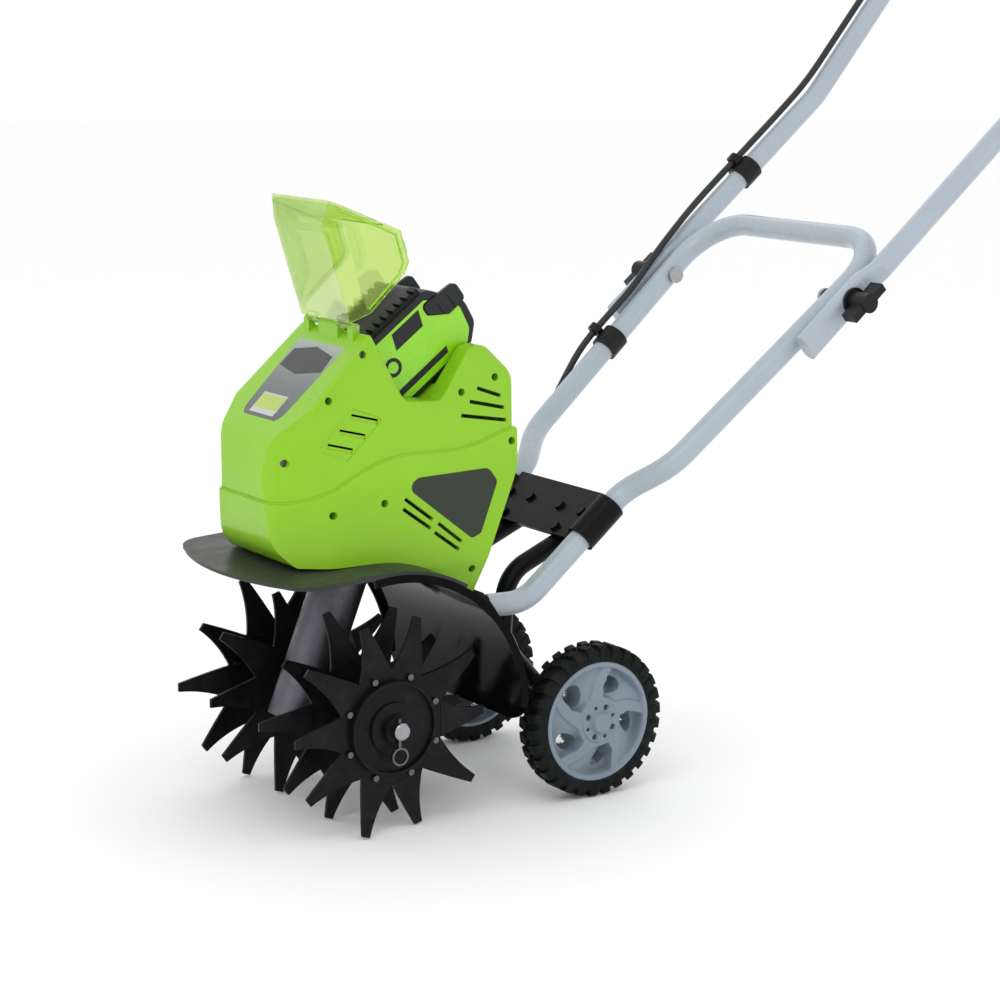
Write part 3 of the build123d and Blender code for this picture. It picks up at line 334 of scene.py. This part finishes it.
NODE_FINISH = {
    "lime": ("housing_left", "housing_right"),
    "lime_battery": ("battery_panels",),
    "badge": ("front_badge",),
    "dark_badge": ("side_badges",),
    "lid": ("battery_lid",),
    "tube": ("lower_handle", "upper_handle"),
    "black_paint": (
        "cross_plate", "tube_clamps", "handle_saddles", "wheel_bracket", "plate_bolts", "motor_can",
    ),
    "tine": ("tine_inner", "tine_outer", "hub_plates", "tine_hubs"),
    "fender": ("rear_fender",),
    "guard": ("front_guard",),
    "black_plastic": (
        "battery_bay", "battery_ejector", "terminal_block", "cable_clip_lower", "cable_clip_upper",
        "knob_left", "knob_right", "switch_box_top", "switch_box_bottom", "bail_bracket", "battery_rails",
    ),
    "charcoal": ("battery_case", "battery_latch_left", "battery_latch_right"),
    "foam": ("foam_grip",),
    "rubber": ("tyre_left", "tyre_right", "shaft_seals"),
    "rim": ("rim_left", "rim_right"),
    "dark_zinc": ("housing_screws", "tine_bolts", "hitch_pins"),
    "zinc": ("fold_bolts", "bracket_pin", "lid_hinge_pin", "wheel_axle"),
    "steel": ("tine_shaft", "motor_shaft", "worm_bearing", "shaft_bearings"),
    "cast": ("gearcase_left", "gearcase_right"),
    "bronze": ("worm_wheel",),
    "nylon": ("cooling_fan",),
    "laminations": ("armature",),
    "red": ("lock_button",),
    "red_rod": ("bail_lever",),
    "cable": ("cable_lower", "cable_upper"),
}

# softened edges of carried-over nodes: width of the rounding in millimetres
EDGE_MM = {
    "housing_left": 0.7, "housing_right": 0.7, "front_guard": 0.8, "tine_inner": 0.5, "tine_outer": 0.5,
    "hub_plates": 0.9, "cross_plate": 0.8, "tube_clamps": 0.6, "battery_case": 0.6, "battery_panels": 0.4,
    "battery_latch_left": 0.6, "battery_latch_right": 0.6, "battery_rails": 0.7, "tyre_left": 0.7,
    "tyre_right": 0.7, "battery_lid": 0.35, "knob_left": 1.4, "knob_right": 1.4, "switch_box_top": 0.5,
    "switch_box_bottom": 0.5, "foam_grip": 1.6, "plate_bolts": 0.8, "tine_bolts": 0.5, "gearcase_left": 1.2,
    "gearcase_right": 1.2, "cable_clip_lower": 0.6, "cable_clip_upper": 0.6, "side_badges": 0.3,
    "front_badge": 0.3, "rear_fender": 0.7, "lock_button": 0.6, "handle_saddles": 0.8,
}
EDGE_SEGMENTS = 2
EDGE_ANGLE = math.radians(38)        # an edge sharper than this is softened
SMOOTH_ANGLE = math.radians(35)      # an edge no sharper than this is shaded smooth


def smooth_group():
    """Geometry nodes that shade a mesh smooth except across its sharp edges."""
    group = bpy.data.node_groups.new("smooth_by_angle", "GeometryNodeTree")
    group.interface.new_socket("Geometry", in_out="INPUT", socket_type="NodeSocketGeometry")
    group.interface.new_socket("Geometry", in_out="OUTPUT", socket_type="NodeSocketGeometry")
    enter = group.nodes.new("NodeGroupInput")
    leave = group.nodes.new("NodeGroupOutput")
    angle = group.nodes.new("GeometryNodeInputMeshEdgeAngle")
    flat = group.nodes.new("FunctionNodeCompare")
    flat.data_type = "FLOAT"
    flat.operation = "LESS_EQUAL"
    flat.inputs["B"].default_value = SMOOTH_ANGLE
    shade = group.nodes.new("GeometryNodeSetShadeSmooth")
    shade.domain = "EDGE"
    group.links.new(angle.outputs["Unsigned Angle"], flat.inputs["A"])
    group.links.new(enter.outputs["Geometry"], shade.inputs["Geometry"])
    group.links.new(flat.outputs["Result"], shade.inputs["Shade Smooth"])
    group.links.new(shade.outputs["Geometry"], leave.inputs["Geometry"])
    return group


def shade_smooth(mesh):
    for face in mesh.polygons:
        face.use_smooth = True


def keep_sharp_edges(obj):
    shading = obj.modifiers.new("shading", "NODES")
    shading.node_group = SMOOTH


def dress(name, finish):
    """Give a carried-over node its finish, its softened edges and its shading."""
    obj = nodes[name]
    obj.data.materials.clear()
    obj.data.materials.append(MATERIALS[finish])
    shade_smooth(obj.data)
    width = EDGE_MM.get(name)
    if width:
        bevel = obj.modifiers.new("edges", "BEVEL")
        bevel.width = width / 1000
        bevel.segments = EDGE_SEGMENTS
        bevel.limit_method = "ANGLE"
        bevel.angle_limit = EDGE_ANGLE
        bevel.harden_normals = True
        bevel.use_clamp_overlap = True
    keep_sharp_edges(obj)


camera()
studio()
SMOOTH = smooth_group()
for node_finish, node_names in NODE_FINISH.items():
    for node_name in node_names:
        dress(node_name, node_finish)
floor()


# ------------------------------------------------------------------ lines and plates
def line_piece(name, kind, places, radius, ring_steps, finish, caps):
    """Round line as a mesh: smooth past the places if kind is NURBS, straight between them if POLY."""
    data = bpy.data.curves.new(name, "CURVE")
    data.dimensions = "3D"
    data.bevel_depth = radius
    data.bevel_resolution = ring_steps
    data.resolution_u = 12
    data.use_fill_caps = caps
    line = data.splines.new(kind)
    line.points.add(len(places) - 1)
    for point, place in zip(line.points, places):
        point.co = (*place, 1)
    if kind == "NURBS":
        line.order_u = 3
        line.use_endpoint_u = True
    obj = show(name, data)
    mesh = bpy.data.meshes.new_from_object(obj.evaluated_get(bpy.context.evaluated_depsgraph_get()))
    bpy.data.objects.remove(obj)
    mesh.materials.clear()
    mesh.materials.append(MATERIALS[finish])
    shade_smooth(mesh)
    return show(name, mesh)


def prism(name, front, back, finish, body):
    """Closed piece between two outlines of equal length."""
    b = bmesh.new()
    rings = [[b.verts.new(place) for place in outline] for outline in (front, back)]
    b.faces.new(rings[0])
    b.faces.new(rings[1])
    for k in range(len(front)):
        j = (k + 1) % len(front)
        b.faces.new((rings[0][k], rings[0][j], rings[1][j], rings[1][k]))
    bmesh.ops.recalc_face_normals(b, faces=b.faces)
    mesh = bpy.data.meshes.new(name)
    b.to_mesh(mesh)
    b.free()
    mesh.materials.append(MATERIALS[finish])
    obj = show(name, mesh)
    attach(obj, body)


# ------------------------------------------------------------------ power cable, one smooth line
CABLE_RADIUS = 0.0035
CABLE_ROUTE = [
    machine(-109, -52, 266), machine(-146, -56, 232), machine(-166, -62, 204), uvw(-72, -66, -20),
    uvw(-46, -84, -25), uvw(-14, -103, -21), uvw(22, -112, -19), uvw(56, -125, -17), uvw(96, -137, -11),
    uvw(146, -142.5, 2), uvw(184, -140, 15), uvw(228, -136, 18.6), uvw(268, -139, 17.8), uvw(306, -148, 18.8),
    uvw(346, -156, 18.6), uvw(392, -164.5, 17.4), uvw(440, -167, 16.4), uvw(492, -166, 16.8),
    uvw(544, -167, 16.2), knee(8, -166, 16.9), knee(62, -167.2, 16.2), knee(120, -166, 17),
    knee(180, -167, 16.2), knee(238, -166, 17.4), knee(288, -163, 19), knee(321, -152, 20),
    knee(341, -132, 15), knee(351, -108, 10),
]


def cable():
    tube = line_piece("power_cable", "NURBS", CABLE_ROUTE, CABLE_RADIUS, 5, "cable", caps=False)
    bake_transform(tube)
    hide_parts("cable_lower", "cable_upper")


cable()


# ------------------------------------------------------------------ plain plates on the front badge
SLANT = (0.6876, 0.7261, 318.6)      # the casing's front slope: 0.6876 x + 0.7261 z = 318.6 mm
# name, finish, its underside and top above the slope, and its (y, z) outline
BADGE_PLATES = (
    ("badge_hexagon", "plaque_dark", -0.3, 0.25,
     ((-36, 425.5), (-2, 430.3), (34, 425.8), (37, 413), (-2, 407.6), (-38, 411.8))),
    ("badge_plate", "plaque_pale", -0.3, 0.25, ((-24, 390.2), (21, 390.2), (21, 374.2), (-24, 374.2))),
    ("badge_field", "plaque_lime", 0.1, 0.4, ((-22.5, 388.8), (19.5, 388.8), (19.5, 378.2), (-22.5, 378.2))),
)


def plaque(name, finish, low, high, outline):
    """Thin plate on the front slope, its (y, z) outline in millimetres, from low to high above the slope."""
    faces = []
    for lift in (low, high):
        face = []
        for y, z in outline:
            x = (SLANT[2] - SLANT[1] * z) / SLANT[0]
            face.append(machine(x + SLANT[0] * lift, y, z + SLANT[1] * lift))
        faces.append(face)
    prism(name, faces[0], faces[1], finish, "chassis")


for badge_plate in BADGE_PLATES:
    plaque(*badge_plate)


# ------------------------------------------------------------------ louvres in the side panels' slots
SIDES = ((1, "left"), (-1, "right"))
# (x, z) of the front and rear end of each slot, from the top one down
LOUVRE_SLOTS = (((16, 376.5), (-11, 369.5)), ((29, 364), (3, 357.5)), ((42, 352.5), (17, 346)))
LOUVRE_SPAN = (0.01, 0.99)           # share of the slot's length that the louvre starts and ends at
LOUVRE_DROP = (-0.5, 2.9)            # its upper and lower edge below the slot's line
LOUVRE_DEPTH = (1.9, 2.9)            # its outer and inner face behind the casing's wall
WALL_FOOT = (310, 81)                # height where the side wall starts to lean in, and its half width there
WALL_LEAN = (170, 22)                # rise, and how far the wall leans in over it


def wall_y(z):
    """Half width of the casing's side wall at height z, above its bulge, in millimetres."""
    return WALL_FOOT[1] - WALL_LEAN[1] * (z - WALL_FOOT[0]) / WALL_LEAN[0]


def louvres():
    top, bottom = LOUVRE_DROP
    first, last = LOUVRE_SPAN
    for number, (start, end) in enumerate(LOUVRE_SLOTS):
        dx, dz = end[0] - start[0], end[1] - start[1]
        length = math.hypot(dx, dz)
        down = (-dz / length, dx / length)
        corners = []
        for share, drop in ((first, top), (last, top), (last, bottom), (first, bottom)):
            corners.append((start[0] + share * dx + drop * down[0], start[1] + share * dz + drop * down[1]))
        for sign, hand in SIDES:
            outer, inner = [
                [machine(x, sign * (wall_y(z) - depth), z) for x, z in corners] for depth in LOUVRE_DEPTH
            ]
            prism(f"louvre_{hand}_{number + 1}", outer, inner, "lime", "chassis")


louvres()


# ------------------------------------------------------------------ plain dark plates on the battery's sides
BATTERY_TILT = math.radians(37)
# name and outline, in millimetres along the battery's slide and square to it
BATTERY_PLATES = (
    ("upper", ((297, 311), (302, 326), (337, 326), (332, 311))),
    ("lower", ((266, 274), (268, 280), (340, 280), (338, 274))),
)
BATTERY_PLATE_Y = (39.9, 39.2)       # outer and inner face


def on_battery(s, y, n):
    """Point s along the battery's slide and n square to it, in millimetres."""
    along, off = math.cos(BATTERY_TILT), math.sin(BATTERY_TILT)
    return machine(off * n - along * s, y, off * s + along * n)


for side_sign, side_name in SIDES:
    for plate_name, plate_outline in BATTERY_PLATES:
        plate_outer, plate_inner = [
            [on_battery(s, side_sign * y, n) for s, n in plate_outline] for y in BATTERY_PLATE_Y
        ]
        plate_piece = f"battery_plate_{plate_name}_{side_name}"
        prism(plate_piece, plate_outer, plate_inner, "charcoal", "battery")


# ------------------------------------------------------------------ moulded lines along the lid's rim
HINGE = (-5.0, 452.0)
LID_TURN = math.radians(107)         # how far the lid stands open
# (x, z) on the closed lid, from the hinge's end to the free end
LID_EDGE = ((-20, 441), (-39, 402.5), (-47.5, 395.5), (-74, 395.5), (-84, 407), (-117, 447))
LID_EDGE_Y = 58.2
LID_END = (-86.5, 405)
LID_END_Y = (-57, 57)
LID_LINE_RADIUS = 0.0009


def open_lid(x, y, z):
    """Place of a point of the closed lid once the lid stands open."""
    dx, dz = x - HINGE[0], z - HINGE[1]
    return machine(
        HINGE[0] + dx * math.cos(LID_TURN) + dz * math.sin(LID_TURN), y,
        HINGE[1] - dx * math.sin(LID_TURN) + dz * math.cos(LID_TURN),
    )


def lid_line(name, places):
    tube = line_piece(name, "POLY", places, LID_LINE_RADIUS, 3, "lid_rim", caps=True)
    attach(tube, "lid")


for side_sign, side_name in SIDES:
    lid_line(f"lid_rib_{side_name}", [open_lid(x, side_sign * LID_EDGE_Y, z) for x, z in LID_EDGE])
lid_line("lid_rib_end", [open_lid(LID_END[0], y, LID_END[1]) for y in LID_END_Y])


# ------------------------------------------------------------------ wheel rims
WHEEL = machine(-218, 0, 73)
WHEEL_Y = 0.110
RIM_RINGS = 96
RIM_STEPS = 400
RIM_RADII = (0.6, 57.5)              # of the moulded face, from its middle to its edge
RIM_FACE = 15.4                      # its height before any step
# radii where a step starts and ends, and how much it raises the face outside it or inside it
OUTWARD_STEPS = ((20, 50, -3.4), (51.3, 53, 1.7), (56.2, 57.5, -0.8))
INWARD_STEPS = ((18.8, 20.4, 1.5), (8.8, 11.6, 4.7))
HUB_HOLES = 8
HUB_HOLE_R = (1.7, 2.7)              # of even and odd holes
HUB_HOLE_DEPTH = 6
HUB_HOLE_RING = 14.9                 # radius of the circle they lie on
SPOKES = 5
SPOKE_FOOT = 20                      # radius where a spoke starts
WINDOW_DEPTH = 26                    # deep enough to pass CUT_BELOW, so the window is open
CUT_BELOW = -0.008                   # faces deeper than this are taken out
RIM_WALL = 0.0022
# closed (r, y) outlines, in millimetres, with the number of steps round
BARREL = (((57.4, 12.6), (57.4, -12.6), (56.6, -13.4), (54.4, -13.4), (53.8, -12.8), (52.4, 9.0)), 160)
HUB = (((15, 11), (15, -18.6), (14.2, -19.3), (6.2, -19.3), (5.4, -18.6), (5.4, 11)), 64)


def ease(low, high, value):
    """Smooth step from 0 at low to 1 at high."""
    t = min(1.0, max(0.0, (value - low) / (high - low)))
    return t * t * (3 - 2 * t)


def rim_face(r, turn):
    """Height of the rim's moulded face, in millimetres, at radius r and angle turn in degrees."""
    height = RIM_FACE
    for low, high, rise in OUTWARD_STEPS:
        height += rise * ease(low, high, r)
    for low, high, rise in INWARD_STEPS:
        height += rise * (1 - ease(low, high, r))
    for k in range(HUB_HOLES):
        size = HUB_HOLE_R[k % 2]
        at = math.radians(360 / HUB_HOLES * k + 20)
        away = math.hypot(r * math.cos(math.radians(turn)) - HUB_HOLE_RING * math.cos(at),
                          r * math.sin(math.radians(turn)) - HUB_HOLE_RING * math.sin(at))
        height -= HUB_HOLE_DEPTH * (1 - ease(size * 0.75, size * 1.1, away))
    # swirled spokes with a pocket between them that is deepest behind each spoke
    pitch = 360 / SPOKES
    swirl = 100 - 0.72 * (r - SPOKE_FOOT)
    behind = (swirl - turn) % pitch
    away = r * math.radians(min(behind, pitch - behind))
    half = 7.4 - 0.08 * (r - SPOKE_FOOT)
    pocket = ease(half, half + 1.8, away) * ease(23, 26, r) * (1 - ease(50, 51.6, r))
    across = behind / pitch
    height -= pocket * (2.0 + 7.5 * (1 - ease(0.2, 0.85, across)))
    # an oval window through each pocket
    window = ((across - 0.34) / 0.21) ** 2 + ((r - 35.5) / 8.6) ** 2
    return height - WINDOW_DEPTH * (1 - ease(0.78, 1.12, window))


def round_y(r, y, turn):
    """A place at radius r and angle turn in radians round the y axis, given in millimetres."""
    return r / 1000 * math.cos(turn), y / 1000, r / 1000 * math.sin(turn)


def lathe(b, profile, steps):
    """Closed ring about the y axis from an (r, y) outline in millimetres."""
    rings = []
    for i in range(steps):
        turn = 2 * math.pi * i / steps
        rings.append([b.verts.new(round_y(r, y, turn)) for r, y in profile])
    for i in range(steps):
        now, after = rings[i], rings[(i + 1) % steps]
        for k in range(len(profile)):
            j = (k + 1) % len(profile)
            b.faces.new((now[k], after[k], after[j], now[j]))


def rim_mesh():
    b = bmesh.new()
    grid = []
    for i in range(RIM_RINGS + 1):
        r = RIM_RADII[0] + (RIM_RADII[1] - RIM_RADII[0]) * i / RIM_RINGS
        row = []
        for k in range(RIM_STEPS):
            turn = 360 * k / RIM_STEPS
            x, y, z = round_y(r, rim_face(r, turn), math.radians(turn))
            row.append(b.verts.new((-x, y, z)))
        grid.append(row)
    for low, high in zip(grid, grid[1:]):
        for k in range(RIM_STEPS):
            j = (k + 1) % RIM_STEPS
            b.faces.new((low[k], low[j], high[j], high[k]))
    b.faces.new(grid[0])
    gone = [f for f in b.faces if all(v.co.y < CUT_BELOW for v in f.verts)]
    bmesh.ops.delete(b, geom=gone, context="FACES")
    bmesh.ops.delete(b, geom=[v for v in b.verts if not v.link_faces], context="VERTS")
    bmesh.ops.recalc_face_normals(b, faces=b.faces)
    if sum(f.normal.y for f in b.faces) < 0:
        bmesh.ops.reverse_faces(b, faces=b.faces)
    bmesh.ops.solidify(b, geom=b.faces, thickness=RIM_WALL)
    lathe(b, *BARREL)
    lathe(b, *HUB)
    bmesh.ops.recalc_face_normals(b, faces=b.faces)
    mesh = bpy.data.meshes.new("wheel_rim")
    b.to_mesh(mesh)
    b.free()
    shade_smooth(mesh)
    mesh.materials.append(MATERIALS["rim"])
    return mesh


def rims():
    left = rim_mesh()
    right = left.copy()
    right.transform(Matrix.Scale(-1, 4, (0, 1, 0)))
    right.flip_normals()
    for mesh, name, y in ((left, "left", WHEEL_Y), (right, "right", -WHEEL_Y)):
        obj = show("wheel_rim_" + name, mesh)
        mesh.transform(Matrix.Translation((WHEEL.x, y, WHEEL.z)))
        keep_sharp_edges(obj)
        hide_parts("rim_" + name)
        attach(obj, "wheel_" + name)


rims()
